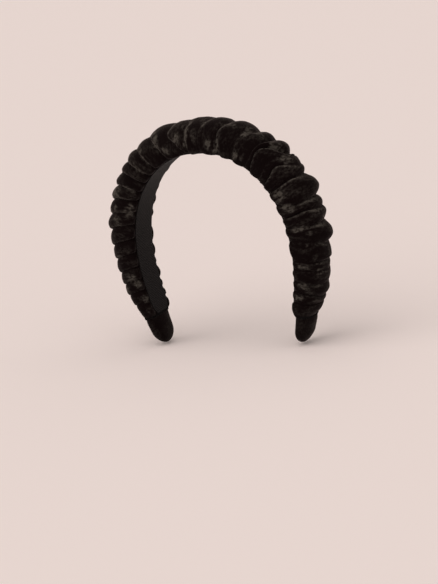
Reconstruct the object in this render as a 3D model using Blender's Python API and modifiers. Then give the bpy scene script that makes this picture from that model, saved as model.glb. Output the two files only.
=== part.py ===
"""Ruched velvet headband: a springy plastic U with a foam pad, a gathered sleeve and two smooth tips.

The band lies in the XZ plane. Its origin is the middle of the head side at the crown, +Z is up,
-Y is the wearer's front and +X the wearer's left. Every layer is described in band coordinates:
s runs along the head side from the crown to a tip, y across the band, and n outwards from the head.
The band is one springy piece, so each leg bends out about a flex line. The layers are divided
there by a narrow wedge, which closes as the leg opens.
"""

import math

import bmesh
import bpy
import numpy as np
from mathutils import Vector

MM = 0.001

# The U, in millimetres along the head side.
HALF_LENGTH = 169.0
CROWN_FLAT = 3.0
TIP_LEAN = math.radians(103.0)
LEAN_EASE = 1.82
TIP_RELAX = 0.27
SPINE_STEP = 0.25

# Where each leg flexes, and how far it can open.
FLEX_AT = 46.0
OPENS = math.radians(12.0)
FLEX_GAP = 0.4
WEDGE_SPARE = math.radians(0.9)
WEDGE = math.tan(OPENS / 2 + WEDGE_SPARE)

# Layers, from the head outwards.
CLEARANCE = 0.3
LINING_THICKNESS = 0.7
SLEEVE_BASE = 0.8
CORE_BASE = 2.6
CORE_THICKNESS = 1.8
FOAM_BASE = CORE_BASE + CORE_THICKNESS + CLEARANCE
HINGE_HEIGHT = CORE_BASE + CORE_THICKNESS / 2
CLOTH = 0.8
LAYER_STEP = 6.0
STRIP_COLUMNS = 3
SECTION_SIDES = 12
WELD_WITHIN = 0.01

# The gathered sleeve: (s, size) stations from the crown to its end.
SLEEVE_END = 147.0
SLEEVE_HALF_WIDTH = ((0, 19.6), (28, 18.0), (55, 17.3), (103, 15.8), (138, 14.6), (147, 13.0))
SLEEVE_HEIGHT = ((0, 21.4), (30, 23.0), (58, 24.3), (82, 24.5), (103, 22.2), (129, 18.8), (147, 13.0))
MIDDLE = 0.42
LOWER_POWER = 0.6
TURNED_IN = math.radians(62.0)
HELD_BELOW = 0.6
VALLEY = 0.84
FOLD_ROUNDNESS = 0.7
DRAWN_DOWN = 6.0
CROWN_FOLDS = 8
LEG_FOLDS = 9
ROWS_PER_FOLD = 4

# The plain tips.
TIP_START = SLEEVE_END + CLEARANCE
TIP_FACE = (151.0, 160.0)
TIP_HALF_WIDTH = ((120, 15.0), (147, 12.0), (160, 10.6), (169, 9.0))
TIP_HEIGHT = ((120, 18.0), (147, 13.2), (160, 11.8), (169, 9.8))
TIP_BASE = 0.6
TIP_FLAT_FROM = math.sin(math.radians(60.0))
TIP_DOME = 9.0
DOME_TURNS = (22.0, 40.0, 55.0, 68.0)

# The parts inside, and the ribbon that covers them.
CORE_HALF_WIDTH = ((0, 11.0), (60, 9.0), (110, 8.0), (147, 5.0), (160, 4.2))
CORE_END = 165.0
CORE_ROUND = 4.0
CORE_BLUNTNESS = 0.9
FOAM_END = 160.0
FOAM_INSET = 1.5
FOAM_SIDE = 0.5
FOAM_TOP_ROUNDNESS = 0.7
FOAM_SIDE_ROUNDNESS = 0.8
LINING_END = SLEEVE_END - 0.5
LINING_OVERLAP = 2.5

THREAD_RADIUS = 0.3
THREAD_HEIGHT = 3.4
THREAD_FROM_CORE = 2.2
THREAD_END = SLEEVE_END - 2.0
SEAM_RADIUS = 0.4
SEAM_OFFSET = 0.8
SEAM_POINTS = 24
AXIS_MARK = 10.0


# ---------------------------------------------------------------- the U and its layers


def tangent_angle(s):
    """How far the band has turned from level at s, eased so that it bends most at the crown."""
    t = max(0.0, abs(s) - CROWN_FLAT) / (HALF_LENGTH - CROWN_FLAT)
    bend = (1 + TIP_RELAX) * (1 - (1 - min(t, 1.0)) ** LEAN_EASE) - TIP_RELAX * t
    return math.copysign(TIP_LEAN * bend, s)


def make_spine():
    """Arc lengths and the points of the head side, from adding up short straight steps."""
    lengths = np.arange(0.0, HALF_LENGTH + SPINE_STEP, SPINE_STEP)
    middles = [tangent_angle(s + SPINE_STEP / 2) for s in lengths[:-1]]
    x = np.concatenate([[0.0], np.cumsum(np.cos(middles)) * SPINE_STEP])
    z = np.concatenate([[0.0], -np.cumsum(np.sin(middles)) * SPINE_STEP])
    return lengths, x, z


SPINE = make_spine()


def place(s, y, n):
    """The point in metres at s along the band, y across it and n out from the head."""
    lengths, x, z = SPINE
    angle = tangent_angle(s)
    along = math.copysign(float(np.interp(abs(s), lengths, x)), s)
    down = float(np.interp(abs(s), lengths, z))
    return Vector((along + n * math.sin(angle), y, down + n * math.cos(angle))) * MM


def size_at(stations, s):
    """A size read from its (s, size) stations, the same on both legs."""
    return float(np.interp(abs(s), [at for at, _ in stations], [size for _, size in stations]))


def sleeve_size(s):
    """Half width, height and middle height of the sleeve at a fold's crest."""
    height = size_at(SLEEVE_HEIGHT, s)
    return size_at(SLEEVE_HALF_WIDTH, s), height, MIDDLE * height


def tip_size(s):
    """Half width and height of a tip cover, and how far its dome has drawn it in."""
    width, height = size_at(TIP_HALF_WIDTH, s), size_at(TIP_HEIGHT, s)
    into_dome = max(0.0, abs(s) - (HALF_LENGTH - TIP_DOME)) / TIP_DOME
    scale = math.sqrt(max(0.0, 1 - into_dome**2))
    return width, height, scale


def power(value, exponent):
    return math.copysign(abs(value) ** exponent, value)


def tip_rise(angle):
    """Height round a tip's section, from -1 to 1: round outside, flat towards the head."""
    rise = math.sin(angle)
    return rise if rise > 0 else -min(1.0, (-rise / TIP_FLAT_FROM) ** LOWER_POWER)


def wedge_shift(n):
    """How far from the flex line a layer stops at height n, as a length along the head side."""
    turning = TIP_LEAN * (1 + TIP_RELAX) * LEAN_EASE / HALF_LENGTH / 2
    return FLEX_GAP / 2 + max(0.0, n - HINGE_HEIGHT) * WEDGE / (1 + n * turning)


def span_of(region, end):
    """A function from n to the lowest and highest s of one region: crown, left or right."""

    def limits(n):
        inner = FLEX_AT + wedge_shift(n)
        outer = FLEX_AT - wedge_shift(n)
        return {"crown": (-outer, outer), "left": (inner, end), "right": (-end, -inner)}[region]

    return limits


def layer_rows(region, end):
    """Places along a region from 0 to 1, with a row at each end of the crown's flat."""
    low, high = span_of(region, end)(0.0)
    if region != "crown":
        return np.linspace(0, 1, 1 + math.ceil((high - low) / LAYER_STEP))
    half = np.linspace(CROWN_FLAT, high, 1 + math.ceil((high - CROWN_FLAT) / LAYER_STEP))
    return (np.concatenate([-half[::-1], half]) - low) / (high - low)


def spread(limits, u, y, n):
    """The point at part u of the way along a region whose ends lean with n."""
    low, high = limits(n)
    return place(low + (high - low) * u, y, n)


def outward(region):
    """A direction that points out from the head over one region."""
    return {"crown": Vector((0, 0, 1)), "left": Vector((1, 0, 0)), "right": Vector((-1, 0, 0))}[region]


# ---------------------------------------------------------------- shared makers


def make_material(name, color, roughness, sheen=0.0):
    material = bpy.data.materials.new(name)
    material.use_nodes = True
    shader = material.node_tree.nodes["Principled BSDF"]
    shader.inputs["Base Color"].default_value = (*color, 1.0)
    shader.inputs["Roughness"].default_value = roughness
    shader.inputs["Metallic"].default_value = 0.0
    shader.inputs["Sheen Weight"].default_value = sheen
    material.diffuse_color = (*color, 1.0)
    return material


def surface_grid(rows, columns, point, joined=False):
    """A bmesh grid bent to point(row, column); joined closes it round into a tube."""
    grid = bmesh.new()
    bmesh.ops.create_grid(grid, x_segments=rows - 1, y_segments=columns - 1, size=0.5)
    for vertex in grid.verts:
        row = round((vertex.co.x + 0.5) * (rows - 1))
        column = round((vertex.co.y + 0.5) * (columns - 1))
        vertex.co = point(row, column)
    if joined:
        bmesh.ops.remove_doubles(grid, verts=grid.verts, dist=WELD_WITHIN * MM)
    return grid


def face_outwards(grid, region):
    """Turns an open surface's faces round if its outermost one faces the head."""
    out = outward(region)
    grid.normal_update()
    outermost = max(grid.faces, key=lambda face: face.calc_center_median().dot(out))
    if outermost.normal.dot(out) < 0:
        bmesh.ops.reverse_faces(grid, faces=grid.faces)


def add_object(name, grid, body, material):
    """The finished mesh object."""
    mesh = bpy.data.meshes.new(name)
    grid.to_mesh(mesh)
    grid.free()
    return attach(bpy.data.objects.new(name, mesh), body, material)


def attach(obj, body, material):
    """Puts an object on its body, with its origin on that body's flex axis."""
    obj.data.materials.append(material)
    PARTS.objects.link(obj)
    axis = BODIES[body]
    obj.parent = axis
    if obj.type == "MESH":
        for vertex in obj.data.vertices:
            vertex.co -= axis.location
    else:
        for point in obj.data.splines[0].points:
            point.co.xyz -= axis.location
    return obj


def add_solidify(obj, thickness, offset):
    """Thickens an open surface: offset 1 grows it outwards, and -1 inwards."""
    shell = obj.modifiers.new("Thickness", "SOLIDIFY")
    shell.thickness = thickness * MM
    shell.offset = offset
    shell.use_even_offset = True


def add_wire(name, points, radius, body, material, cyclic=False, sides=0):
    """A thread along points, open with filled ends or closed into a ring."""
    curve = bpy.data.curves.new(name, "CURVE")
    curve.dimensions = "3D"
    curve.bevel_depth = radius * MM
    curve.bevel_resolution = sides
    curve.use_fill_caps = True
    spline = curve.splines.new("POLY")
    spline.points.add(len(points) - 1)
    for vertex, point in zip(spline.points, points):
        vertex.co = (*point, 1.0)
    spline.use_cyclic_u = cyclic
    return attach(bpy.data.objects.new(name, curve), body, material)


# ---------------------------------------------------------------- the pieces


def make_core(region):
    """The springy plastic strip, which narrows to a round end inside each tip."""
    limits = span_of(region, CORE_END)
    rows = layer_rows(region, CORE_END)

    def half_width(s):
        width = size_at(CORE_HALF_WIDTH, s)
        from_round = (abs(s) - (CORE_END - CORE_ROUND)) / CORE_ROUND
        return width * math.sqrt(1 - CORE_BLUNTNESS * min(1.0, max(0.0, from_round)) ** 2)

    def point(row, column):
        low, high = limits(CORE_BASE)
        side = column / (STRIP_COLUMNS - 1) * 2 - 1
        across = side * half_width(low + (high - low) * rows[row])
        return spread(limits, rows[row], across, CORE_BASE)

    strip = surface_grid(len(rows), STRIP_COLUMNS, point)
    face_outwards(strip, region)
    obj = add_object(f"core_{region}", strip, region, PLASTIC)
    add_solidify(obj, CORE_THICKNESS, 1)


def make_foam(region):
    """The D-section foam on the outside of the core, flat side down."""
    limits = span_of(region, FOAM_END)
    rows = layer_rows(region, FOAM_END)
    columns = SECTION_SIDES + 1

    def sizes(s):
        width, height, middle = sleeve_size(s)
        tip_width, tip_height, _ = tip_size(min(abs(s), HALF_LENGTH - TIP_DOME))
        half_width = min(width * VALLEY, tip_width) - FOAM_INSET
        top = min(middle + (height - middle) * VALLEY, tip_height) - FOAM_INSET
        return half_width, top, min(middle, (FOAM_BASE + top) / 2)

    def point(row, column):
        low, high = limits(FOAM_BASE)
        half_width, top, middle = sizes(low + (high - low) * rows[row])
        angle = math.pi * (column % (columns - 1)) / (columns - 2)
        up_side = math.sin(angle) / FOAM_SIDE
        height = FOAM_BASE + (middle - FOAM_BASE) * min(1.0, up_side)
        height += (top - middle) * max(0.0, up_side - 1) ** FOAM_TOP_ROUNDNESS
        across = half_width * power(math.cos(angle), FOAM_SIDE_ROUNDNESS)
        return spread(limits, rows[row], across, height)

    pad = surface_grid(len(rows), columns, point, joined=True)
    bmesh.ops.holes_fill(pad, edges=pad.edges)
    bmesh.ops.recalc_face_normals(pad, faces=pad.faces)
    add_object(f"foam_{region}", pad, region, FOAM)


def make_sleeve(region):
    """The gathered velvet, open on the head side where its turned-in edges are stuck down."""
    limits = span_of(region, SLEEVE_END)
    folds = CROWN_FOLDS if region == "crown" else LEG_FOLDS
    rows = folds * ROWS_PER_FOLD + 1
    columns = SECTION_SIDES + 1

    def puff(row, s):
        in_fold = math.sin(math.pi * row / ROWS_PER_FOLD)
        fold = VALLEY + (1 - VALLEY) * abs(in_fold) ** FOLD_ROUNDNESS
        near_end = min(1.0, max(0.0, (SLEEVE_END - abs(s)) / DRAWN_DOWN))
        return 1 - (1 - fold) * near_end

    def point(row, column):
        u = row / (rows - 1)
        low, high = limits(SLEEVE_BASE)
        s = low + (high - low) * u
        width, height, middle = sleeve_size(s)
        angle = -TURNED_IN + (math.pi + 2 * TURNED_IN) * column / (columns - 1)
        rise, across = math.sin(angle), math.cos(angle)
        loose = min(1.0, max(0.0, rise + HELD_BELOW) / HELD_BELOW)
        scale = 1 - (1 - puff(row, s)) * loose
        if rise >= 0:
            y, n = width * across, middle + (height - middle) * rise * scale
        else:
            y = width * power(across, LOWER_POWER)
            n = middle + (middle - SLEEVE_BASE) * power(rise, LOWER_POWER) * scale
        return spread(limits, u, y * scale, n)

    tube = surface_grid(rows, columns, point)
    face_outwards(tube, region)
    obj = add_object(f"ruched_sleeve_{region}", tube, region, VELVET)
    add_solidify(obj, CLOTH, -1)


def make_lining(region):
    """The ribbon against the head, over the core and the sleeve's turned-in edges."""
    limits = span_of(region, LINING_END)
    rows = layer_rows(region, LINING_END)
    turned_in = math.cos(TURNED_IN) ** LOWER_POWER

    def point(row, column):
        low, high = limits(0.0)
        s = low + (high - low) * rows[row]
        half_width = sleeve_size(s)[0] * turned_in + LINING_OVERLAP
        side = column / (STRIP_COLUMNS - 1) * 2 - 1
        return spread(limits, rows[row], side * half_width, 0.0)

    ribbon = surface_grid(len(rows), STRIP_COLUMNS, point)
    face_outwards(ribbon, region)
    obj = add_object(f"lining_ribbon_{region}", ribbon, region, RIBBON)
    add_solidify(obj, LINING_THICKNESS, 1)


def make_gathering_thread(region, side):
    """One of the two threads that draw the sleeve up, beside the core."""
    limits = span_of(region, THREAD_END)
    low, high = limits(THREAD_HEIGHT)
    points = []
    for u in layer_rows(region, THREAD_END):
        across = size_at(CORE_HALF_WIDTH, low + (high - low) * u) + THREAD_FROM_CORE
        points.append(spread(limits, u, side * across, THREAD_HEIGHT))
    name = "front" if side < 0 else "rear"
    add_wire(f"{name}_gathering_thread_{region}", points, THREAD_RADIUS, region, THREAD)


def make_tip_cover(region):
    """The smooth velvet end: a sock over the core and foam, open towards the sleeve."""
    sign = 1 if region == "left" else -1
    dome = [HALF_LENGTH - TIP_DOME * (1 - math.sin(math.radians(turn))) for turn in DOME_TURNS]
    rows = [TIP_START, *TIP_FACE, *dome]
    columns = SECTION_SIDES + 1

    def point(row, column):
        s = rows[row]
        width, height, scale = tip_size(s)
        middle, half_height = (height + TIP_BASE) / 2, (height - TIP_BASE) / 2 * scale
        angle = math.tau * (column % (columns - 1)) / (columns - 1)
        return place(sign * s, width * scale * math.cos(angle), middle + half_height * tip_rise(angle))

    sock = surface_grid(len(rows), columns, point, joined=True)
    half_way = place(sign * TIP_FACE[1], 0.0, TIP_BASE).z
    far_rim = [edge for edge in sock.edges if edge.is_boundary and edge.verts[0].co.z < half_way]
    bmesh.ops.holes_fill(sock, edges=far_rim)
    bmesh.ops.recalc_face_normals(sock, faces=sock.faces)
    face_outwards(sock, region)
    obj = add_object(f"tip_cover_{region}", sock, region, VELVET)
    add_solidify(obj, CLOTH, -1)


def make_end_seam(region):
    """The whipped thread where the sleeve is drawn down onto the tip cover."""
    sign = 1 if region == "left" else -1
    s = TIP_START + SEAM_RADIUS + CLEARANCE / 2
    width, height, _ = tip_size(s)
    middle, half_height = (TIP_BASE + height) / 2, (height - TIP_BASE) / 2 + SEAM_OFFSET
    points = []
    for step in range(SEAM_POINTS):
        angle = math.tau * step / SEAM_POINTS
        across = (width + SEAM_OFFSET) * math.cos(angle)
        points.append(place(sign * s, across, middle + half_height * tip_rise(angle)))
    add_wire(f"sleeve_end_seam_{region}", points, SEAM_RADIUS, region, THREAD, cyclic=True, sides=1)


# ---------------------------------------------------------------- the headband


def clear_scene():
    for obj in list(bpy.data.objects):
        bpy.data.objects.remove(obj)


def make_axis(name, s, n):
    """The empty that carries one body's pieces."""
    axis = bpy.data.objects.new(name, None)
    axis.location = place(s, 0.0, n)
    axis.empty_display_size = AXIS_MARK * MM
    PARTS.objects.link(axis)
    return axis


clear_scene()
PARTS = bpy.data.collections.new("Ruched velvet headband")
bpy.context.scene.collection.children.link(PARTS)

VELVET = make_material("Black velvet", (0.012, 0.011, 0.011), 0.95, sheen=0.5)
RIBBON = make_material("Black ribbon", (0.02, 0.019, 0.02), 0.6)
PLASTIC = make_material("Black plastic", (0.03, 0.03, 0.03), 0.45)
FOAM = make_material("Grey foam", (0.22, 0.22, 0.23), 0.95)
THREAD = make_material("Black thread", (0.015, 0.015, 0.015), 0.7)

BODIES = {
    "crown": make_axis("crown_seat", 0.0, 0.0),
    "left": make_axis("left_flex_axis", FLEX_AT, HINGE_HEIGHT),
    "right": make_axis("right_flex_axis", -FLEX_AT, HINGE_HEIGHT),
}

for part in BODIES:
    make_core(part)
    make_foam(part)
    make_sleeve(part)
    make_lining(part)
    make_gathering_thread(part, -1)
    make_gathering_thread(part, 1)
for part in ("left", "right"):
    make_tip_cover(part)
    make_end_seam(part)
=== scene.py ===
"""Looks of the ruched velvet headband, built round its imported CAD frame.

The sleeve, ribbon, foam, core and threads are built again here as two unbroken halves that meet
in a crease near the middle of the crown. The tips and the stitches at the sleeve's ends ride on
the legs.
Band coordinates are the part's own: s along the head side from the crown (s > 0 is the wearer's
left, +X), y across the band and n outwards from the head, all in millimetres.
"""

import math

import bmesh
import bpy
import numpy as np
from mathutils import Matrix, Vector


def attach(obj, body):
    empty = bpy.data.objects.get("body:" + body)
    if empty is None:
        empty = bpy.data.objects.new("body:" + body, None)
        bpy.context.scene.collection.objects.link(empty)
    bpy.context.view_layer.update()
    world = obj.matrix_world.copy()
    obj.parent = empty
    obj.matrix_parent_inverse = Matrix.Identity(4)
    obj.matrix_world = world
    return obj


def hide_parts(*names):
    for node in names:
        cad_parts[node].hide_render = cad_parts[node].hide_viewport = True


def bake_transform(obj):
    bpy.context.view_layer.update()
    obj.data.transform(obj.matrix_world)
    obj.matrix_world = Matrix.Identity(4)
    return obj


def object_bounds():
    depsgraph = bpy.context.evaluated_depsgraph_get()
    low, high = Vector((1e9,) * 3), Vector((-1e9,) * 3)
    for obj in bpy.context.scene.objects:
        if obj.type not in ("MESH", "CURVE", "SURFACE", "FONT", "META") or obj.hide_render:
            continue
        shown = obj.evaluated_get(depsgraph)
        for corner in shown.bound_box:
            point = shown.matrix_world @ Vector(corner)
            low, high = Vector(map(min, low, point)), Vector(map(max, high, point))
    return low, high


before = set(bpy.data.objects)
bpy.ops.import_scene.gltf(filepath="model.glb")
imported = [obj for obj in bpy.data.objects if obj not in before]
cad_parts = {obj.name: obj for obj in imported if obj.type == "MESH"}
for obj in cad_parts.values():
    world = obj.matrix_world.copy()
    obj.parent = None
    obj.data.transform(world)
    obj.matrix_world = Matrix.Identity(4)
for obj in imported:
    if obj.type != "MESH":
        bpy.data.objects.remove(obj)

CAD_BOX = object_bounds()
MM = 0.001

# The U and its layers, in millimetres, as the part has them.
HALF_LENGTH = 169.0
CROWN_FLAT = 3.0
TIP_LEAN = math.radians(103.0)
LEAN_EASE = 1.82
TIP_RELAX = 0.27
SPINE_STEP = 0.25
MIDDLE = 0.42
LOWER_POWER = 0.6
SLEEVE_END = 147.0
SLEEVE_HALF_WIDTH = ((0, 19.6), (28, 18.0), (55, 17.3), (103, 15.8), (138, 14.6), (147, 13.0))
SLEEVE_HEIGHT = ((0, 21.4), (30, 23.0), (58, 24.3), (82, 24.5), (103, 22.2), (129, 18.8), (147, 13.0))
SLEEVE_BASE = 0.65
TURNED_IN = 62.0
EDGE_RISE = math.sin(math.radians(TURNED_IN))
TIP_START = 144.3
TIP_HALF_WIDTH = ((120, 15.0), (147, 12.0), (160, 10.6), (169, 9.0))
TIP_HEIGHT = ((120, 18.0), (147, 11.8), (152, 12.5), (160, 11.8), (169, 9.8))
TIP_BASE = 0.6
TIP_DOME = 9.0
TIP_COLUMNS = 48
TIP_BODY_ROWS = 12
TIP_DOME_ROWS = 10
CORE_BASE = 2.6
CORE_THICKNESS = 1.8
CORE_MIDDLE = CORE_BASE + CORE_THICKNESS / 2
CORE_HALF_WIDTH = ((0, 11.0), (60, 9.0), (110, 8.0), (147, 5.0), (160, 4.2))
CORE_END = 165.0
FOAM_BASE = 4.7
FOAM_END = 160.0
FOAM_INSET = 1.5
FOAM_WIDTH_SHARE = 0.78
FOAM_HEIGHT_SHARE = 0.85
FOAM_COLUMNS = 24
FOAM_ROUNDNESS = 0.8
STRIP_COLUMNS = 32
STRIP_CORNER = 0.2
LINING_THICKNESS = 0.7
LINING_OVERLAP = 1.2
LINING_END = 146.5
LINING_TAPER = 2.2
LINING_TAPER_LENGTH = 7.0
THREAD_RADIUS = 0.3
THREAD_SIDES = 8
THREAD_HEIGHT = 3.4
THREAD_FROM_CORE = 2.2
THREAD_END = 145.0
STRIP_STEP = 4.0
LINING_STEP = 1.0
THREAD_STEP = 3.0

# The whipped thread at each end of the sleeve.
STITCHES = 34
POINTS_PER_STITCH = 8
STITCH_AT = 147.4
STITCH_REACH = 0.9
STITCH_SLANT = 0.03
STITCH_RADIUS = 0.22
STITCH_LIFT = 0.35

# The creases of the gathered sleeve, from the wearer's right to left: where each runs at the
# CREASE_ANGLES round the front, how deep it is at the DEPTH_ANGLES, and for the fold after it, how
# far it swells past its neighbours on top and how far along the fold its crest lies.
CREASE_ANGLES = (90, 120, 150, 180, 215)
DEPTH_ANGLES = (90, 150, 215)
CREASES = (
    ((-147, -147, -147, -147, -147), (0.8, 0.8, 0.3), 0.0, 0.5),
    ((-139, -137.5, -136, -135.5, -135), (1.0, 1.0, 0.4), 0.2, 0.45),
    ((-132, -130, -128, -127.5, -127), (0.8, 1.2, 0.5), 0.6, 0.45),
    ((-125, -122.5, -120, -119.5, -119), (1.6, 1.5, 0.5), 0.3, 0.45),
    ((-117, -114.5, -112, -111, -110), (1.2, 1.7, 0.5), 0.5, 0.5),
    ((-108.5, -105.5, -103, -101.5, -100), (2.0, 1.8, 0.6), 0.2, 0.45),
    ((-100, -97, -94, -92, -90), (1.4, 1.9, 0.6), 0.6, 0.45),
    ((-91, -87.5, -84, -82, -80), (2.4, 2.0, 0.6), 1.2, 0.5),
    ((-82, -78, -75, -73, -71), (1.6, 2.0, 0.6), 0.2, 0.45),
    ((-73, -69.5, -66, -64, -62), (2.0, 2.0, 0.6), 0.5, 0.45),
    ((-65, -61, -58, -56.5, -55), (2.8, 2.0, 0.7), 0.0, 0.45),
    ((-57, -53, -50, -48.5, -47.5), (1.2, 2.0, 0.7), 0.0, 0.45),
    ((-49, -45.5, -43.5, -42, -40.5), (1.4, 2.2, 0.8), 0.8, 0.45),
    ((-40.5, -37, -35, -34, -33), (0.9, 2.0, 0.8), 0.0, 0.45),
    ((-30.5, -27, -24, -22, -20.5), (1.1, 2.4, 1.2), 0.7, 0.5),
    ((-15, -14.5, -14.5, -10, -6), (1.2, 2.0, 1.0), -0.7, 0.45),
    ((-6.5, -4.5, -4, -3.5, -3), (1.2, 2.4, 1.2), 0.5, 0.45),
    ((7, 5.5, 5, 5, 6), (0.9, 0.5, 0.2), -0.2, 0.4),
    ((16.8, 15.8, 15.5, 17, 19), (2.3, 2.0, 1.0), 0.0, 0.55),
    ((31, 27.3, 26.5, 27, 28), (2.7, 0.8, 0.6), 0.0, 0.55),
    ((39.5, 38, 36.8, 37, 38), (2.0, 0.15, 0.1), 2.1, 0.55),
    ((49.6, 41.8, 38.8, 40, 42), (2.1, 2.4, 1.2), 0.0, 0.9),
    ((51.6, 50.0, 47, 48, 50), (0.7, 0.2, 0.1), 0.2, 0.35),
    ((57, 54, 51.5, 53.5, 55), (0.3, 2.0, 1.2), 0.0, 0.35),
    ((61.8, 61.6, 61.5, 61.5, 61.5), (2.9, 2.2, 1.2), 3.2, 0.62),
    ((74.5, 74.5, 74.5, 73, 70), (2.9, 1.0, 1.0), 0.1, 0.55),
    ((80.8, 80.2, 79.5, 80, 80), (1.0, 1.8, 1.0), 0.5, 0.35),
    ((88.5, 88.5, 88, 87, 86), (2.8, 0.8, 0.8), 3.0, 0.6),
    ((100.5, 98.5, 97, 96, 95), (2.2, 0.5, 0.6), 0.9, 0.85),
    ((110.5, 110, 110, 109, 108.5), (2.0, 0.6, 0.5), -0.1, 0.6),
    ((116, 116, 115, 114.5, 114), (0.3, 0.7, 0.5), 0.6, 0.5),
    ((124.5, 124.5, 124.5, 123, 122), (0.3, 0.8, 0.5), 1.0, 0.6),
    ((133.5, 132, 131, 130, 129), (0.6, 1.3, 0.6), 0.8, 0.5),
    ((138, 138, 138, 137.5, 137), (0.3, 0.7, 0.5), 1.1, 0.4),
    ((147, 147, 147, 147, 147), (1.0, 0.8, 0.2), 0.0, 0.35),
)
MEETING_CREASE = 16

# How the rear follows the front: creases are mirrored about half of REAR_MIRROR, with only a share
# of their sweep, and keep a gap between them that widens from FLAT_TOP towards the rear.
FLAT_TOP = 68.0
REAR_MIRROR = 160.0
REAR_SWEEP = (-0.15, 0.45)
REAR_LEAN = 0.4
REAR_SWELL = 0.3
CREASE_GAP = 1.2
REAR_GAP = 3.4

# Painted sheen: patches where the pile is crushed, whose grey sheen is painted into the base colour:
# s, angle, half length, half height round the section in degrees, and how strong it is.
PAINTED_SHEEN_PATCHES = (
    (-64, 130, 2.5, 26, 1.0),
    (-60.5, 150, 1.5, 14, 0.5),
    (-56.5, 190, 1.5, 20, 0.5),
    (-43.5, 120, 1.6, 28, 0.9),
    (-41.5, 178, 1.0, 26, 0.5),
    (-34, 150, 0.7, 45, 0.5),
    (-37.5, 112, 0.7, 18, 0.6),
    (-23, 155, 1.8, 22, 1.0),
    (-23.5, 112, 2.2, 12, 0.5),
    (-18, 190, 1.8, 11, 0.8),
    (-9, 165, 1.9, 15, 0.8),
    (-6.5, 130, 0.6, 22, 0.5),
    (-3.6, 150, 1.1, 45, 0.9),
    (2.5, 160, 2.0, 14, 0.35),
    (4, 108, 0.6, 12, 0.5),
    (6.5, 112, 0.6, 14, 0.6),
    (11.5, 182, 1.2, 17, 0.9),
    (16.5, 188, 1.2, 24, 0.9),
    (19, 113, 5.0, 4, 0.8),
    (28.5, 112, 1.5, 18, 0.9),
    (33, 104, 4.0, 3, 0.8),
    (29, 192, 1.4, 13, 0.9),
    (33.5, 188, 0.8, 11, 0.6),
    (42.5, 112, 2.5, 5, 1.0),
    (46, 101, 3.0, 4, 0.8),
    (51.5, 98, 2.5, 6, 0.7),
    (50, 118, 1.2, 10, 0.6),
    (53.5, 118, 0.9, 14, 0.6),
    (64.3, 188, 1.2, 17, 1.0),
    (67.6, 192, 1.1, 13, 0.8),
    (73, 190, 1.3, 15, 0.9),
    (75.5, 176, 1.3, 11, 0.7),
    (86.5, 88, 1.3, 10, 0.6),
    (88, 168, 1.1, 22, 0.9),
    (91.5, 145, 0.9, 12, 0.4),
    (98, 160, 0.7, 4, 0.35),
    (105, 133, 0.9, 6, 0.3),
    (107, 150, 0.8, 6, 0.25),
    (109.5, 98, 0.6, 12, 0.5),
    (111.7, 175, 1.2, 18, 0.65),
    (114.2, 125, 0.6, 20, 0.6),
    (117, 125, 0.5, 18, 0.4),
    (124.5, 173, 2.0, 18, 0.65),
    (124.8, 125, 0.6, 16, 0.45),
    (129, 160, 1.0, 12, 0.3),
    (133, 190, 1.6, 18, 0.75),
    (135, 115, 0.7, 16, 0.45),
    (137, 228, 1.0, 8, 0.6),
)
SHEEN_PATCH_WAVER = 0.7
SPARE_SHEEN_PATCHES = 60
SEEN_ABOVE = 75.0
SEEN_FROM = -45.0
# How much painted sheen the fine ridges get; the tips get only a plain tone with a random mottle.
RIDGE_PAINTED_SHEEN = 0.25
TIP_BLOOM = 0.06
TIP_MOTTLE = 0.1

# The sleeve's mesh: rows in each fold, columns round it, and how finely its outline is read.
ROWS_PER_FOLD = 16
EVEN_ROWS = 0.35
ROW_CROWDING = 2.2
SLEEVE_COLUMNS = 72
FINE_ANGLES = 1200
SPACED_AT = 60.0
NORMAL_STEP = math.radians(2.0)
LAST_ROW_BEYOND = 0.5

# The shape of a fold. Over TUCK_OVER degrees beyond LEAN_FROM towards the front, and short of
# REAR_LEAN_FROM towards the rear, it tucks under its neighbour. It lies open on top between them.
RIM_RADIUS = 2.2
RIM_SHARE = 0.45
OPEN_RIM = 5.5
LEAN_FROM = 100.0
REAR_LEAN_FROM = 60.0
TUCK_OVER = 40.0
FOLD_LEAN = 0.6
LEAN_FADE = 3.0
NARROW_FOLD = 6.0
NARROW_DROP = 0.5
FOLD_FULLNESS = 0.8
FALL_POWER = 1.3
WRINKLE = 0.35
SOFT_SWELL = 0.5
HELD_WITHIN = 22.0
SWELL_FROM = 30.0
REAR_GAP_OVER = 35.0
LOWER_PUFF = 1.5
LOWER_PUFFS_AT = (220.0, -40.0)
LOWER_PUFF_SPREAD = 15.0
LOWER_PUFF_WIDTH = 8.0
LOWER_PUFF_SHARES = (0.3, 1.3)
LOWER_PUFF_FULLNESS = 0.7
BESIDE_RIBBON = 1.5
SWEEP_JITTER = 1.2
DEPTH_JITTER = 0.3
LEAST_DEPTH = 0.05
REAR_JITTER_SHARES = (1.0, 1.0, 0.8, 0.3)

# The painted highlight along a fold's rim: (angle, spread in degrees, strength) of each bright stretch.
RIM_HIGHLIGHTS = ((112.0, 22.0, 1.0), (165.0, 35.0, 0.3))
RIM_LEAST = 0.12
RIM_MOST = 0.8
RIM_UNEVEN = 0.6
DIM_RIMS_FROM = 92.0
RIM_DIM = 0.65
RIM_DIM_OVER = 12.0
LIP_AT = 0.5
LIP_SPREAD = 0.4
DEEP_CREASE = 1.5

# The cloth's own coordinates, which the pile's streaks follow.
CLOTH_ROUND = 70.0
LAY_STRETCH = 0.45
SEED = 11

# Where the legs start and stop bending, in band coordinates.
BEND_FROM = 16.0
BEND_TO = 76.0


# ---------------------------------------------------------------- camera, light and floor

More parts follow.
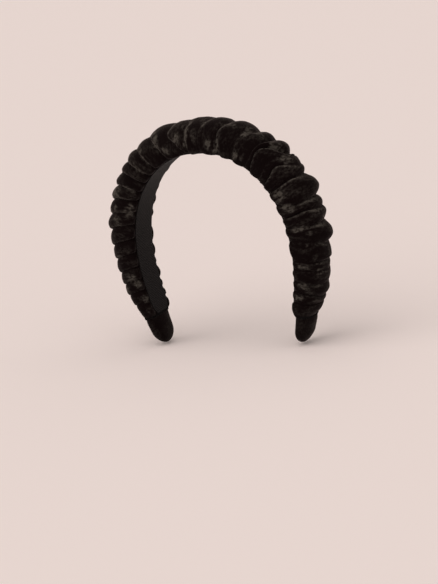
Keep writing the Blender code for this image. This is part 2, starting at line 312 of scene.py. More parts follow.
CAMERA_AZIMUTH = math.radians(29.2)
CAMERA_ELEVATION = math.radians(14.6)
CAMERA_ROLL = math.radians(-8.8)
CAMERA_DISTANCE = 1.3
CAMERA_AIM_RIGHT = -0.0054
CAMERA_AIM_UP = -0.0998
CAMERA_LENS = 116.4
WORLD = (0.52, 0.45, 0.415)
BACKDROP = (0.79, 0.665, 0.624)
FLOOR = (0.91, 0.885, 0.89)
PILE = (0.0030, 0.0010, 0.0011)
# The grey that the velvet's colour runs to where sheen is painted, and faintly on the tips as their
# tone.
PAINTED_SHEEN_GREY = (0.060, 0.056, 0.049)
SHEEN = (1.0, 0.86, 0.82, 1.0)
PILE_MOTTLE = 0.03
RIBBON_LOW = (0.0008, 0.0007, 0.0008)
RIBBON_HIGH = (0.0075, 0.0062, 0.0062)
RIBS_PER_CM = 9.0
FLOOR_DROP = 0.0015
FLOOR_RADIUS = 14.0
FLOOR_SIDES = 64

# Each soft light: its name, the way to it, its spread in degrees, its power and its color.
SUNS = (
    ("key", (-0.55, -0.85, 1.25), 75, 1.15, (1.0, 0.87, 0.81)),
    ("fill", (1.0, -0.35, 0.9), 70, 0.35, (1.0, 0.88, 0.83)),
)


def add_camera():
    """The photo's view: from the wearer's front left, a little above, with the band leaning."""
    a, e, roll = CAMERA_AZIMUTH, CAMERA_ELEVATION, CAMERA_ROLL
    back = Vector((math.sin(a) * math.cos(e), -math.cos(a) * math.cos(e), math.sin(e)))
    right = Vector((math.cos(a), math.sin(a), 0.0))
    up = back.cross(right)
    rolled_right = right * math.cos(roll) + up * math.sin(roll)
    rolled_up = up * math.cos(roll) - right * math.sin(roll)
    data = bpy.data.cameras.new("camera")
    data.lens = CAMERA_LENS
    data.sensor_width = 36.0
    data.sensor_fit = "AUTO"
    data.clip_start, data.clip_end = 0.05, 60.0
    camera = bpy.data.objects.new("camera", data)
    turn = Matrix((rolled_right, rolled_up, back)).transposed().to_4x4()
    place_at = right * CAMERA_AIM_RIGHT + Vector((0, 0, CAMERA_AIM_UP)) + back * CAMERA_DISTANCE
    camera.matrix_world = Matrix.Translation(place_at) @ turn
    bpy.context.scene.collection.objects.link(camera)
    bpy.context.scene.camera = camera


def add_sun(name, toward, spread, power, color):
    """A broad soft light from one side, like a large diffuser far away."""
    data = bpy.data.lights.new(name, "SUN")
    data.angle = math.radians(spread)
    data.energy = power
    data.color = color
    light = bpy.data.objects.new(name, data)
    light.rotation_mode = "QUATERNION"
    light.rotation_quaternion = Vector(toward).to_track_quat("Z", "Y")
    bpy.context.scene.collection.objects.link(light)


def add_world():
    """A pale room that lights the band less than the backdrop that the camera sees."""
    world = bpy.data.worlds.new("studio")
    world.use_nodes = True
    nodes, links = world.node_tree.nodes, world.node_tree.links
    lit = nodes["Background"]
    lit.inputs["Color"].default_value = (*WORLD, 1.0)
    seen = add_node(nodes, "ShaderNodeBackground", Color=(*BACKDROP, 1.0))
    path = add_node(nodes, "ShaderNodeLightPath")
    mix = add_node(nodes, "ShaderNodeMixShader")
    links.new(path.outputs["Is Camera Ray"], mix.inputs["Fac"])
    links.new(lit.outputs["Background"], mix.inputs[1])
    links.new(seen.outputs["Background"], mix.inputs[2])
    links.new(mix.outputs["Shader"], nodes["World Output"].inputs["Surface"])
    bpy.context.scene.world = world
    bpy.context.scene.view_settings.view_transform = "Standard"


def add_floor():
    lowest = CAD_BOX[0].z - FLOOR_DROP
    points = [(0, 0, lowest)]
    for k in range(FLOOR_SIDES):
        turn = math.tau * k / FLOOR_SIDES
        points.append((math.cos(turn) * FLOOR_RADIUS, math.sin(turn) * FLOOR_RADIUS, lowest))
    faces = [(0, 1 + k, 1 + (k + 1) % FLOOR_SIDES) for k in range(FLOOR_SIDES)]
    mesh = bpy.data.meshes.new("floor")
    mesh.from_pydata(points, [], faces)
    floor = bpy.data.objects.new("floor", mesh)
    floor.data.materials.append(floor_material())
    bpy.context.scene.collection.objects.link(floor)


# ---------------------------------------------------------------- materials


def new_material(name):
    material = bpy.data.materials.new(name)
    material.use_nodes = True
    nodes = material.node_tree.nodes
    return material, nodes, material.node_tree.links, nodes["Principled BSDF"]


def set_node(node, **values):
    """Sets a node's sockets (Base_Color for Base Color) or its own settings (operation...)."""
    for key, value in values.items():
        socket = key.replace("_", " ")
        if socket in node.inputs:
            node.inputs[socket].default_value = value
        else:
            setattr(node, key, value)
    return node


def add_node(nodes, kind, **values):
    return set_node(nodes.new(kind), **values)


def add_ramp(nodes, low, high, start=0.0):
    """A ramp from one color at the value start to another at 1."""
    ramp = nodes.new("ShaderNodeValToRGB")
    first, last = ramp.color_ramp.elements
    first.position = start
    first.color, last.color = (*low, 1.0), (*high, 1.0)
    return ramp


def add_bump(nodes, links, shader, height, strength, distance):
    bump = add_node(nodes, "ShaderNodeBump", Strength=strength, Distance=distance)
    links.new(height, bump.inputs["Height"])
    links.new(bump.outputs["Normal"], shader.inputs["Normal"])


def floor_material():
    material, nodes, links, shader = new_material("pale floor")
    set_node(shader, Base_Color=(*FLOOR, 1.0), Roughness=0.9, Specular_IOR_Level=0.1)
    noise = add_node(nodes, "ShaderNodeTexNoise", Scale=40.0, Detail=2.0)
    add_bump(nodes, links, shader, noise.outputs["Fac"], 0.02, 0.001)
    return material


def velvet_material():
    """Black cotton velvet: deep black pile with the shader's sheen seen edge-on, and a grey sheen
    painted into its colour where the pile is crushed, along the rims and on the ridges.
    """
    material, nodes, links, shader = new_material("black velvet")
    coords = add_node(nodes, "ShaderNodeTexCoord")
    lay = add_node(nodes, "ShaderNodeAttribute", attribute_name="lay")
    painted_sheen_and_tone = add_node(nodes, "ShaderNodeAttribute", attribute_name="painted_sheen_and_tone")
    streaks = add_node(nodes, "ShaderNodeTexNoise", Scale=900.0, Detail=3.0, Roughness=0.65)
    pile = add_node(nodes, "ShaderNodeTexNoise", Scale=1500.0, Detail=2.0, Roughness=0.7)
    streaky = nodes.new("ShaderNodeMapRange")
    set_node(streaky, From_Min=0.36, From_Max=0.69, To_Min=0.1, To_Max=2.15)
    lifted = add_node(nodes, "ShaderNodeMath", operation="ADD")
    lifted.inputs[1].default_value = PILE_MOTTLE
    mottled = add_node(nodes, "ShaderNodeMath", operation="MULTIPLY")
    # Base colour from the black pile to the painted sheen grey, by the painted sheen attribute with
    # random streaks.
    ramp = add_ramp(nodes, PILE, PAINTED_SHEEN_GREY, 0.05)
    links.new(lay.outputs["Vector"], streaks.inputs["Vector"])
    links.new(coords.outputs["Object"], pile.inputs["Vector"])
    links.new(streaks.outputs["Fac"], streaky.inputs["Value"])
    links.new(streaky.outputs["Result"], mottled.inputs[0])
    links.new(painted_sheen_and_tone.outputs["Fac"], lifted.inputs[0])
    links.new(lifted.outputs["Value"], mottled.inputs[1])
    links.new(mottled.outputs["Value"], ramp.inputs["Fac"])
    links.new(ramp.outputs["Color"], shader.inputs["Base Color"])
    add_bump(nodes, links, shader, pile.outputs["Fac"], 0.7, 0.0003)
    set_node(shader, Roughness=0.8, Specular_IOR_Level=0.05)
    set_node(shader, Sheen_Weight=0.13, Sheen_Roughness=0.30, Sheen_Tint=SHEEN)
    return material


def ribbon_material():
    """Black grosgrain with its fine cross ribs."""
    material, nodes, links, shader = new_material("black grosgrain")
    uv = add_node(nodes, "ShaderNodeUVMap")
    ribs = add_node(nodes, "ShaderNodeTexWave", Scale=RIBS_PER_CM / math.pi, Distortion=0.5, Detail=1.0)
    ribs.bands_direction = "X"
    ramp = add_ramp(nodes, RIBBON_LOW, RIBBON_HIGH)
    links.new(uv.outputs["UV"], ribs.inputs["Vector"])
    links.new(ribs.outputs["Fac"], ramp.inputs["Fac"])
    links.new(ramp.outputs["Color"], shader.inputs["Base Color"])
    add_bump(nodes, links, shader, ribs.outputs["Fac"], 1.0, 0.0003)
    set_node(shader, Roughness=0.65, Specular_IOR_Level=0.12)
    return material


def plain_material(name, color, roughness, grain, depth, specular=0.5):
    """A moulded, foamed or spun surface: one color with a fine grain."""
    material, nodes, links, shader = new_material(name)
    coords = add_node(nodes, "ShaderNodeTexCoord")
    noise = add_node(nodes, "ShaderNodeTexNoise", Scale=grain, Detail=3.0)
    ramp = add_ramp(nodes, [c * 0.75 for c in color], [c * 1.25 for c in color])
    links.new(coords.outputs["Object"], noise.inputs["Vector"])
    links.new(noise.outputs["Fac"], ramp.inputs["Fac"])
    links.new(ramp.outputs["Color"], shader.inputs["Base Color"])
    add_bump(nodes, links, shader, noise.outputs["Fac"], 0.4, depth)
    set_node(shader, Roughness=roughness, Specular_IOR_Level=specular)
    return material


# ---------------------------------------------------------------- the U and its layers


def tangent_angle(s):
    """How far the band has turned from level at s."""
    t = np.clip((np.abs(s) - CROWN_FLAT) / (HALF_LENGTH - CROWN_FLAT), 0.0, None)
    bend = (1 + TIP_RELAX) * (1 - (1 - np.minimum(t, 1.0)) ** LEAN_EASE) - TIP_RELAX * t
    return np.sign(s) * TIP_LEAN * bend


def make_spine():
    """Lengths along the head side and its points, from adding up short straight steps."""
    lengths = np.arange(0.0, HALF_LENGTH + SPINE_STEP, SPINE_STEP)
    middles = tangent_angle(lengths[:-1] + SPINE_STEP / 2)
    x = np.concatenate([[0.0], np.cumsum(np.cos(middles)) * SPINE_STEP])
    z = np.concatenate([[0.0], -np.cumsum(np.sin(middles)) * SPINE_STEP])
    return lengths, x, z


SPINE = make_spine()


def place(s, y, n):
    """Points in metres at s along the band, y across it and n out from the head."""
    s, y, n = np.broadcast_arrays(np.asarray(s, float), np.asarray(y, float), np.asarray(n, float))
    lengths, x, z = SPINE
    angle = tangent_angle(s)
    beyond = np.maximum(np.abs(s) - lengths[-1], 0.0)
    end = tangent_angle(lengths[-1])
    along = np.interp(np.abs(s), lengths, x) + beyond * math.cos(end)
    down = np.interp(np.abs(s), lengths, z) - beyond * math.sin(end)
    points = np.stack([np.sign(s) * along + n * np.sin(angle), y, down + n * np.cos(angle)], -1)
    return points * MM


def size_at(stations, s):
    """A size read from its (s, size) stations, the same on both legs."""
    return np.interp(np.abs(s), [at for at, _ in stations], [size for _, size in stations])


def power(value, exponent):
    """A power that keeps the value's sign."""
    return np.sign(value) * np.abs(value) ** exponent


def section(s, angle):
    """The sleeve's outline at a fold's crest: (y, n) at an angle, 0 at the rear and 90 outside."""
    width, height = size_at(SLEEVE_HALF_WIDTH, s), size_at(SLEEVE_HEIGHT, s)
    middle = MIDDLE * height
    rise, across = np.sin(angle), np.cos(angle)
    upper = middle + (height - middle) * np.maximum(rise, 0.0)
    lower = (middle - SLEEVE_BASE) * (np.maximum(-rise, 0.0) / EDGE_RISE) ** LOWER_POWER
    bulge = np.where(rise >= 0, 1.0, LOWER_POWER)
    return width * power(across, bulge), upper - lower


def lining_half_width(s):
    """The ribbon reaches just past the sleeve's turned-in edges, and narrows at its ends."""
    turned_in = math.cos(math.radians(TURNED_IN)) ** LOWER_POWER
    into_taper = (np.abs(s) - LINING_END) / LINING_TAPER_LENGTH + 1
    taper = LINING_TAPER * ease(into_taper) ** 2
    return size_at(SLEEVE_HALF_WIDTH, s) * turned_in + LINING_OVERLAP - taper


def section_normal(s, angle):
    """The outline's outward direction as (y, n)."""
    y0, n0 = section(s, angle - NORMAL_STEP)
    y1, n1 = section(s, angle + NORMAL_STEP)
    dy, dn = y1 - y0, n1 - n0
    length = np.hypot(dy, dn) + 1e-9
    return dn / length, -dy / length


def even_angles(count):
    """Angles that step evenly round the sleeve's outline, from its rear edge to its front edge."""
    fine = np.radians(np.linspace(-TURNED_IN, 180.0 + TURNED_IN, FINE_ANGLES))
    y, n = section(SPACED_AT, fine)
    walked = np.concatenate([[0.0], np.cumsum(np.hypot(np.diff(y), np.diff(n)))])
    return np.interp(np.linspace(0, walked[-1], count), walked, fine)


# ---------------------------------------------------------------- noise


def smooth_noise(rng, rows, columns, row_cells, column_cells):
    """Soft random bumps from -1 to 1 on a grid, from a coarse random grid drawn smooth."""
    cells = rng.uniform(-1, 1, (row_cells + 2, column_cells + 2))
    r = np.linspace(0, row_cells, rows)
    c = np.linspace(0, column_cells, columns)
    r0, c0 = np.floor(r).astype(int), np.floor(c).astype(int)
    fr, fc = r - r0, c - c0
    fr, fc = fr * fr * (3 - 2 * fr), fc * fc * (3 - 2 * fc)
    top = cells[r0][:, c0] * (1 - fc) + cells[r0][:, c0 + 1] * fc
    low = cells[r0 + 1][:, c0] * (1 - fc) + cells[r0 + 1][:, c0 + 1] * fc
    return top * (1 - fr[:, None]) + low * fr[:, None]


# ---------------------------------------------------------------- mesh makers


def grid_mesh(name, points, close=False):
    """A quad mesh over a (rows, columns, 3) array of points, closed round its columns if asked."""
    rows, columns = points.shape[:2]
    index = np.arange(rows * columns).reshape(rows, columns)
    if close:
        index = np.concatenate([index, index[:, :1]], 1)
    a, b = index[:-1, :-1].ravel(), index[:-1, 1:].ravel()
    c, d = index[1:, 1:].ravel(), index[1:, :-1].ravel()
    mesh = bpy.data.meshes.new(name)
    mesh.from_pydata(points.reshape(-1, 3).tolist(), [], np.stack([a, b, c, d], 1).tolist())
    mesh.polygons.foreach_set("use_smooth", np.ones(len(mesh.polygons), bool))
    mesh.update()
    return mesh


def add_piece(name, data, material):
    piece = bpy.data.objects.new(name, data)
    bpy.context.scene.collection.objects.link(piece)
    data.materials.append(material)
    return piece


def apply_modifiers(piece):
    """Puts the mesh that the modifiers make in place of the piece's own."""
    graph = bpy.context.evaluated_depsgraph_get()
    mesh = bpy.data.meshes.new_from_object(piece.evaluated_get(graph))
    piece.modifiers.clear()
    piece.data = mesh


def bend_with_leg(piece, side):
    """Bakes the piece's placement into its mesh; the flex line from BEND_FROM to BEND_TO is worked out
    but does not bend the piece.
    """
    sign = 1 if side == "left" else -1
    start = Vector(place(sign * BEND_FROM, 0.0, CORE_MIDDLE))
    end = Vector(place(sign * BEND_TO, 0.0, CORE_MIDDLE))
    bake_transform(piece)


# ---------------------------------------------------------------- the gathered sleeve


def smooth_curve(x, knots, values):
    """A smooth curve through the knots (cubic Hermite)."""
    knots, values = np.array(knots, float), np.array(values, float)
    slopes = np.gradient(values, knots)
    x = np.clip(x, knots[0], knots[-1])
    k = np.clip(np.searchsorted(knots, x, "right") - 1, 0, len(knots) - 2)
    step = knots[k + 1] - knots[k]
    t = (x - knots[k]) / step
    a = (1 + 2 * t) * (1 - t) ** 2 * values[k] + t * (1 - t) ** 2 * step * slopes[k]
    return a + t * t * (3 - 2 * t) * values[k + 1] + t * t * (t - 1) * step * slopes[k + 1]


def round_both_sides(degrees, front_angles, front_values, share, jitter):
    """A smooth curve given on the front, with a share of its sweep mirrored to the rear."""
    front = np.array(front_values, float)
    rear_angles = REAR_MIRROR - np.array(front_angles[1:], float)[::-1]
    rear = front[0] + share * (front[1:][::-1] - front[0]) + jitter
    knots = np.concatenate([rear_angles, [FLAT_TOP], front_angles])
    return smooth_curve(degrees, knots, np.concatenate([rear, front[:1], front]))


def crease_lines(degrees, rng):
    """Where each crease runs and how deep it is, as (creases, angles) arrays."""
    lines, depths = [], []
    for at, depth, _, _ in CREASES:
        loose = 0.0 if abs(at[0]) >= SLEEVE_END else 1.0
        share = rng.uniform(*REAR_SWEEP)
        jitter = rng.uniform(-SWEEP_JITTER, SWEEP_JITTER, len(at) - 1) * loose * REAR_JITTER_SHARES
        lines.append(round_both_sides(degrees, CREASE_ANGLES, at, share, jitter))
        jitter = rng.uniform(-DEPTH_JITTER, DEPTH_JITTER, len(depth) - 1)
        depths.append(round_both_sides(degrees, DEPTH_ANGLES, depth, 1.0, jitter * loose))
    lines = np.array(lines)
    gap = CREASE_GAP + (REAR_GAP - CREASE_GAP) * ease((FLAT_TOP - degrees) / REAR_GAP_OVER)
    for k in range(1, len(lines) - 1):
        lines[k] = np.maximum(lines[k], lines[k - 1] + gap)
    for k in range(len(lines) - 2, 0, -1):
        lines[k] = np.minimum(lines[k], lines[k + 1] - gap)
    return lines, np.maximum(depths, LEAST_DEPTH)


def round_rise(x):
    """From 0 at x = 0 to 1 at x = 1 along a quarter circle, upright at 0."""
    return np.sqrt(1 - (1 - np.clip(x, 0, 1)) ** 2)


def gentle_rise(x):
    """From 0 at x = 0 to 1 at x = 1, sloping at 0 and level at 1."""
    return np.sin(math.pi / 2 * np.clip(x, 0, 1)) ** 0.9


def ease(x):
    """From 0 at x = 0 to 1 at x = 1, level at both."""
    x = np.clip(x, 0, 1)
    return x * x * (3 - 2 * x)


def fold_steps():
    """Row positions in a fold, crowded at its rim."""
    u = np.arange(ROWS_PER_FOLD) / ROWS_PER_FOLD
    return EVEN_ROWS * u + (1 - EVEN_ROWS) * u ** ROW_CROWDING


def sleeve_points(rng):
    """The gathered cloth as (rows, columns, 3) points, its looks and the row of each crease."""
    angles = even_angles(SLEEVE_COLUMNS)
    lines, depths = crease_lines(np.degrees(angles), rng)
    steps = fold_steps()
    rows, looks, crease_rows = [], [], []
    for k in range(len(CREASES) - 1):
        crease_rows.append(len(rows))
        more, look = fold_rows(angles, lines[k : k + 2], depths[k : k + 2], steps, CREASES[k], rng)
        rows += more
        looks += look
    last = lines[-2:] + LAST_ROW_BEYOND
    more, look = fold_rows(angles, last, depths[-2:], np.array([1.0]), CREASES[-1], rng)
    return np.array(rows + more), np.array(looks + look), crease_rows


def held_at_edges(degrees):
    """From 0 at the turned-in edges, where the cloth is held flat, to 1 above them."""
    front = np.clip((180.0 + TURNED_IN - degrees) / HELD_WITHIN, 0, 1)
    return front * np.clip((degrees + TURNED_IN) / HELD_WITHIN, 0, 1)


def lower_puff(degrees, wide):
    """How far a fold puffs out just above the turned-in edges: wide folds more than narrow ones."""
    low_down = sum(np.exp(-(((degrees - at) / LOWER_PUFF_SPREAD) ** 2)) for at in LOWER_PUFFS_AT)
    return LOWER_PUFF * low_down * np.clip(wide / LOWER_PUFF_WIDTH, *LOWER_PUFF_SHARES)


def fold_shape(degrees, wide, depths, crest):
    """What all rows of a fold share, at each angle round it."""
    on_top = np.maximum(np.sin(np.radians(degrees)), 0.0) ** 2
    front_tuck = ease((degrees - LEAN_FROM) / TUCK_OVER)
    rear_tuck = ease((REAR_LEAN_FROM - degrees) / TUCK_OVER)
    narrow = 1 - np.clip(wide / NARROW_FOLD, 0, 1)
    return {
        "on_top": on_top * (REAR_SWELL + (1 - REAR_SWELL) * ease(degrees / SWELL_FROM - 1)),
        "tucked": front_tuck + rear_tuck,
        "lean": FOLD_LEAN * (front_tuck + REAR_LEAN * rear_tuck),
        "drop": NARROW_DROP * np.minimum(depths[0], depths[1]) * narrow,
        "rim": np.minimum(RIM_RADIUS, RIM_SHARE * wide),
        "slope": np.minimum(OPEN_RIM, crest * wide),
    }


def fold_height(t, wide, depths, shape, swell, crest):
    """How far the row at part t of a fold's width stands out from the sleeve's outline."""
    x, tucked = wide * t, shape["tucked"]
    rise = gentle_rise(x / shape["slope"]) * (1 - tucked) + round_rise(x / shape["rim"]) * tucked
    q = np.clip((t - crest) / (1 - crest), 0, 1)
    fall = 1 - gentle_rise(1 - q) * (1 - tucked) - round_rise(1 - q ** FALL_POWER) * tucked
    to_crest = t ** (math.log(0.5) / math.log(crest)) if t > 0 else 0.0
    swollen = swell * shape["on_top"] * fullness(to_crest, FOLD_FULLNESS)
    return swollen - depths[0] * (1 - rise) - depths[1] * fall - shape["drop"]


def fullness(t, roundness):
    """From 0 at both sides of a fold to 1 in its middle."""
    return math.sin(math.pi * t) ** roundness


def fold_rows(angles, lines, depths, steps, crease, rng):
    """The rows of one fold, leaning over the fold before it, and each row's painted sheen and cloth
    place.
    """
    count = max(len(steps), 2)
    wide = lines[1] - lines[0]
    degrees = np.degrees(angles)
    held = held_at_edges(degrees)
    depths = depths * held
    wrinkle = ridges(rng, count, len(angles))
    swell = smooth_noise(rng, count, len(angles), 2, 7)
    lumps = WRINKLE * (wrinkle + SOFT_SWELL * swell)
    at, _, top_swell, crest = crease
    shape = fold_shape(degrees, wide, depths, crest)
    puff = lower_puff(degrees, wide)
    rim = shape["rim"]
    bright = painted_rim_highlight(rng, degrees, at[0])
    around = LAY_STRETCH * CLOTH_ROUND * np.linspace(0, 1, len(angles))
    rows, looks = [], []
    for r, t in enumerate(steps):
        middle = fullness(t, FOLD_FULLNESS) * held
        d = fold_height(t, wide, depths, shape, top_swell, crest) + lumps[r] * middle
        d = d + puff * fullness(t, LOWER_PUFF_FULLNESS)
        s = lines[0] + wide * t
        fade = np.clip((SLEEVE_END - np.abs(s)) / LEAN_FADE, 0, 1)
        s = s - shape["lean"] * (d + depths[0]) * fade
        y, n = section(s, angles)
        ny, nn = section_normal(s, angles)
        y, n = y + ny * d, n + nn * d
        beside = ease((np.abs(y) - lining_half_width(s)) / BESIDE_RIBBON)
        rows.append(place(s, y, np.maximum(n, SLEEVE_BASE * (1 - beside))))
        # Painted sheen: a highlight line just inside each rim on deep creases, the patches of crushed
        # pile and a lighter tone on the fine ridges.
        lip = np.exp(-(((wide * t / rim - LIP_AT) / LIP_SPREAD) ** 2))
        lip = lip * np.clip(depths[0] / DEEP_CREASE, 0, 1)
        painted_sheen_and_tone = bright * lip + painted_sheen_at(s, degrees) + RIDGE_PAINTED_SHEEN * wrinkle[r] * middle
        looks.append(np.stack([painted_sheen_and_tone, s, around], -1))
    return rows, looks


def painted_rim_highlight(rng, degrees, at):
    """The painted highlight along a rim: strongest above the front face and near the crown, and uneven.
    """
    window = sum(most * np.exp(-(((degrees - peak) / wide) ** 2)) for peak, wide, most in RIM_HIGHLIGHTS)
    uneven = 1 + RIM_UNEVEN * smooth_noise(rng, 2, len(degrees), 1, 9)[0]
    dim = 1 - RIM_DIM * ease((abs(at) - DIM_RIMS_FROM) / RIM_DIM_OVER)
    return np.clip(RIM_LEAST + RIM_MOST * window * uneven, 0, 1) * dim


def ridges(rng, rows, columns):
    """Fine gathers that run round the sleeve: narrow ridges with soft valleys, from 0 to 1."""
    wide = 1 - np.abs(smooth_noise(rng, rows, columns, 3, 5)) * 2
    fine = 1 - np.abs(smooth_noise(rng, rows, columns, 6, 7)) * 2
    return np.maximum(wide, 0) ** 2 * 0.7 + np.maximum(fine, 0) ** 2 * 0.3


def spare_sheen_patches():
    """More painted sheen patches of crushed pile, strewn over the rear and the hidden leg."""
    rng = np.random.default_rng(SEED + 1)
    for _ in range(SPARE_SHEEN_PATCHES):
        s, angle = rng.uniform(-140, 140), rng.uniform(-40, 220)
        seen = angle > SEEN_ABOVE and s > SEEN_FROM
        if not seen:
            yield s, angle, rng.uniform(1, 3), rng.uniform(6, 16), rng.uniform(0.5, 0.9)


ALL_SHEEN_PATCHES = (*PAINTED_SHEEN_PATCHES, *spare_sheen_patches())


def painted_sheen_at(s, degrees):
    """The painted sheen of crushed pile at places on the sleeve, in patches bent out of round by waves.
    """
    total = np.zeros_like(s)
    s = s + SHEEN_PATCH_WAVER * np.sin(degrees * 0.21 + s * 0.4) * np.sin(degrees * 0.083 + s * 0.9)
    degrees = degrees + 5 * np.sin(s * 1.9) + 4 * np.sin(s * 0.83 + degrees * 0.05)
    for at, angle, long, high, strength in ALL_SHEEN_PATCHES:
        far = ((s - at) / long) ** 2 + ((degrees - angle) / high) ** 2
        total = np.maximum(total, strength * np.exp(-(far ** 1.5)))
    return total


def paint_velvet(mesh, painted_sheen_and_tone, lay):
    """Stores the painted sheen (on the tips a plain mottled tone), and the cloth's own coordinates, in
    metres along the pile.
    """
    layer = mesh.attributes.new("painted_sheen_and_tone", "FLOAT", "POINT")
    layer.data.foreach_set("value", np.clip(painted_sheen_and_tone, 0, 1).astype(np.float32).ravel())
    layer = mesh.attributes.new("lay", "FLOAT_VECTOR", "POINT")
    layer.data.foreach_set("vector", lay.astype(np.float32).ravel())


def make_sleeve():
    """The gathered velvet, made in one and parted at the meeting crease."""
    rng = np.random.default_rng(SEED)
    points, looks, crease_rows = sleeve_points(rng)
    meeting = crease_rows[MEETING_CREASE]
    halves = (("right", slice(0, meeting + 1)), ("left", slice(meeting, None)))
    for side, rows in halves:
        mesh = grid_mesh(f"gathered_velvet_{side}", points[rows, ::-1])
        look = looks[rows, ::-1]
        lay = np.concatenate([look[..., 1:] * MM, np.zeros_like(look[..., :1])], -1)
        paint_velvet(mesh, look[..., 0], lay)
        piece = add_piece(f"gathered_velvet_{side}", mesh, VELVET)
        smooth = piece.modifiers.new("smooth", "SUBSURF")
        smooth.levels = smooth.render_levels = 1
        apply_modifiers(piece)
        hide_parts(f"ruched_sleeve_{side}", "ruched_sleeve_crown")
        bend_with_leg(piece, side)


# ---------------------------------------------------------------- the inside


def half_stations(side, end, step):
    """Places along one half, from the crease where the halves meet to its end."""
    sign = 1 if side == "left" else -1
    start = sign * CREASES[MEETING_CREASE][0][2]
    return sign * np.linspace(start, end, 1 + math.ceil((end - start) / step))


def tube_points(stations, outline):
    """The points of a band whose section at s is outline(s)."""
    return np.array([place(s, *outline(s)) for s in stations])


def foam_outline(s):
    """The foam's D-section, flat side down."""
    width, height = size_at(SLEEVE_HALF_WIDTH, s), size_at(SLEEVE_HEIGHT, s)
    tip_width, tip_height = size_at(TIP_HALF_WIDTH, s), size_at(TIP_HEIGHT, s)
    half = min(width * FOAM_WIDTH_SHARE, tip_width) - FOAM_INSET
    top = min(height * FOAM_HEIGHT_SHARE, tip_height) - FOAM_INSET
    turn = np.linspace(0, math.pi, FOAM_COLUMNS)
    y = half * power(np.cos(turn), FOAM_ROUNDNESS)
    return y, FOAM_BASE + (top - FOAM_BASE) * power(np.sin(turn), FOAM_ROUNDNESS)


def strip_outline(half_width, base, thickness):
    """A flat strip's section, with slightly eased edges."""

    def outline(s):
        turn = np.linspace(0, math.tau, STRIP_COLUMNS, endpoint=False)
        y = half_width(s) * power(np.cos(turn), STRIP_CORNER)
        return y, base + thickness / 2 * (1 + power(np.sin(turn), STRIP_CORNER))

    return outline


def cap_ends(piece):
    """Fills the two open ends of a tube."""
    grid = bmesh.new()
    grid.from_mesh(piece.data)
    bmesh.ops.holes_fill(grid, edges=[edge for edge in grid.edges if edge.is_boundary])
    bmesh.ops.recalc_face_normals(grid, faces=grid.faces)
    grid.to_mesh(piece.data)
    grid.free()


def add_band(side, mesh, material, slot, *nodes):
    """One closed piece of the inside, with its ends filled, which stands for the CAD nodes that it
    hides.
    """
    piece = add_piece(mesh.name, mesh, material)
    cap_ends(piece)
    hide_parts(*nodes)
    bend_with_leg(piece, side)
    return piece


def make_inside(side):
    outline = strip_outline(lambda s: size_at(CORE_HALF_WIDTH, s), CORE_BASE, CORE_THICKNESS)
    core = tube_points(half_stations(side, CORE_END, STRIP_STEP), outline)
    mesh = grid_mesh(f"core_strip_{side}", core, close=True)
    add_band(side, mesh, PLASTIC, "core_plastic", f"core_{side}", "core_crown")

    pad = tube_points(half_stations(side, FOAM_END, STRIP_STEP), foam_outline)
    mesh = grid_mesh(f"core_pad_{side}", pad, close=True)
    piece = add_band(side, mesh, FOAM, "pad_foam", f"foam_{side}", "foam_crown")

    make_lining(side)
    for row, across in (("front", -1), ("rear", 1)):
        make_thread(side, row, across)


def make_lining(side):
    stations = half_stations(side, LINING_END, LINING_STEP)
    outline = strip_outline(lining_half_width, 0.0, LINING_THICKNESS)
    mesh = grid_mesh(f"ribbon_lining_{side}", tube_points(stations, outline), close=True)
    lay_uv(mesh, stations)
    nodes = f"lining_ribbon_{side}", "lining_ribbon_crown"
    piece = add_band(side, mesh, RIBBON, "lining_ribbon", *nodes)


def lay_uv(mesh, stations):
    """U runs along the band in centimetres."""
    layer = mesh.uv_layers.new(name="along")
    across = np.array([v.co.y for v in mesh.vertices]) / MM / 10
    for loop in mesh.loops:
        row = loop.vertex_index // STRIP_COLUMNS
        layer.data[loop.index].uv = (abs(stations[row]) / 10, across[loop.vertex_index])


def make_thread(side, row, across):
    """A gathering thread that runs beside the core under the turned-in edge."""
    turn = np.linspace(0, math.tau, THREAD_SIDES, endpoint=False)

    def outline(s):
        y = across * (size_at(CORE_HALF_WIDTH, s) + THREAD_FROM_CORE)
        return y + THREAD_RADIUS * np.cos(turn), THREAD_HEIGHT + THREAD_RADIUS * np.sin(turn)

    points = tube_points(half_stations(side, THREAD_END, THREAD_STEP), outline)
    mesh = grid_mesh(f"{row}_gathering_{side}", points, close=True)
    node = f"{row}_gathering_thread"
    add_band(side, mesh, THREAD, "sewing_thread", f"{node}_{side}", f"{node}_crown")


# ---------------------------------------------------------------- the tips


def tip_rise(turn):
    """Height round a tip's section, from -1 to 1: round outside, flatter towards the head."""
    return np.where(np.sin(turn) > 0, np.sin(turn), -np.abs(np.sin(turn)) ** LOWER_POWER)


def tip_section(s, turn):
    """A tip's outline at s, drawn in to a point over its dome."""
    width, height = size_at(TIP_HALF_WIDTH, s), size_at(TIP_HEIGHT, s)
    into = max(0.0, abs(s) - (HALF_LENGTH - TIP_DOME)) / TIP_DOME
    scale = math.sqrt(max(0.0, 1 - min(into, 1.0) ** 2))
    middle, half = (height + TIP_BASE) / 2, (height - TIP_BASE) / 2 * scale
    return width * scale * np.cos(turn), middle + half * tip_rise(turn)


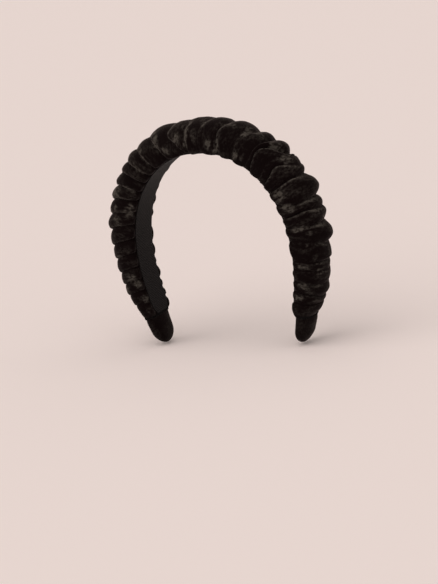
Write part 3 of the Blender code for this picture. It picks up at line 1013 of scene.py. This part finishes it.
def make_tip(side):
    sign = 1 if side == "left" else -1
    turn = np.linspace(0, math.tau, TIP_COLUMNS, endpoint=False)
    body = np.linspace(TIP_START, HALF_LENGTH - TIP_DOME, TIP_BODY_ROWS)
    into_dome = np.sin(np.linspace(0.1, 1.0, TIP_DOME_ROWS) * math.pi / 2)
    stations = [*body, *(HALF_LENGTH - TIP_DOME + TIP_DOME * into_dome[:-1])]
    points = np.array([place(sign * s, *tip_section(s, turn)) for s in stations])
    end = place(sign * HALF_LENGTH, 0.0, (size_at(TIP_HEIGHT, HALF_LENGTH) + TIP_BASE) / 2)
    points = np.concatenate([points, np.broadcast_to(end, (1, TIP_COLUMNS, 3))])
    mesh = grid_mesh(f"tip_sock_{side}", points, close=True)
    rng = np.random.default_rng(SEED + (2 if side == "left" else 3))
    mottle = TIP_MOTTLE * smooth_noise(rng, len(points), TIP_COLUMNS, 6, 8)
    paint_velvet(mesh, TIP_BLOOM + mottle, points)
    piece = add_piece(f"tip_sock_{side}", mesh, VELVET)
    weld(piece)
    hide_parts(f"tip_cover_{side}")
    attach(piece, f"{side}_leg")


def weld(piece):
    """Joins the points that the dome's last ring brings together."""
    grid = bmesh.new()
    grid.from_mesh(piece.data)
    bmesh.ops.remove_doubles(grid, verts=grid.verts, dist=1e-6)
    bmesh.ops.recalc_face_normals(grid, faces=grid.faces)
    grid.to_mesh(piece.data)
    grid.free()


def stitch_path(sign):
    """The thread's way round a tip, to and fro across the sleeve's end and over its edge."""
    walk = np.linspace(0, math.tau, STITCHES * POINTS_PER_STITCH, endpoint=False)
    phase = STITCHES * walk
    s = STITCH_AT + STITCH_REACH * np.sin(phase)
    turn = walk + STITCH_SLANT * np.sin(phase)
    width, height = size_at(TIP_HALF_WIDTH, s), size_at(TIP_HEIGHT, s)
    middle, half = (height + TIP_BASE) / 2, (height - TIP_BASE) / 2
    out = STITCH_RADIUS + STITCH_LIFT * (1 + np.cos(phase)) / 2
    return place(sign * s, (width + out) * np.cos(turn), middle + (half + out) * tip_rise(turn))


def make_end_seam(side):
    """One thread that whips the sleeve's end to the tip with small slanting stitches."""
    path = stitch_path(1 if side == "left" else -1)
    curve = bpy.data.curves.new(f"end_stitches_{side}", "CURVE")
    curve.dimensions = "3D"
    curve.bevel_depth = STITCH_RADIUS * MM
    curve.bevel_resolution = 2
    spline = curve.splines.new("POLY")
    spline.points.add(len(path) - 1)
    spline.points.foreach_set("co", np.column_stack([path, np.ones(len(path))]).ravel())
    spline.use_cyclic_u = True
    piece = add_piece(f"end_stitches_{side}", curve, THREAD)
    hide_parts(f"sleeve_end_seam_{side}")
    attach(piece, f"{side}_leg")


# ---------------------------------------------------------------- the scene


add_camera()
add_world()
for light in SUNS:
    add_sun(*light)
add_floor()

VELVET = velvet_material()
RIBBON = ribbon_material()
PLASTIC = plain_material("black plastic", (0.02, 0.02, 0.02), 0.4, 300.0, 0.00005)
FOAM = plain_material("grey foam", (0.20, 0.20, 0.21), 0.95, 900.0, 0.0003)
THREAD = plain_material("black thread", (0.005, 0.005, 0.005), 0.8, 4000.0, 0.0001, 0.1)

for leg in ("right", "left"):
    make_inside(leg)
    make_tip(leg)
    make_end_seam(leg)
make_sleeve()
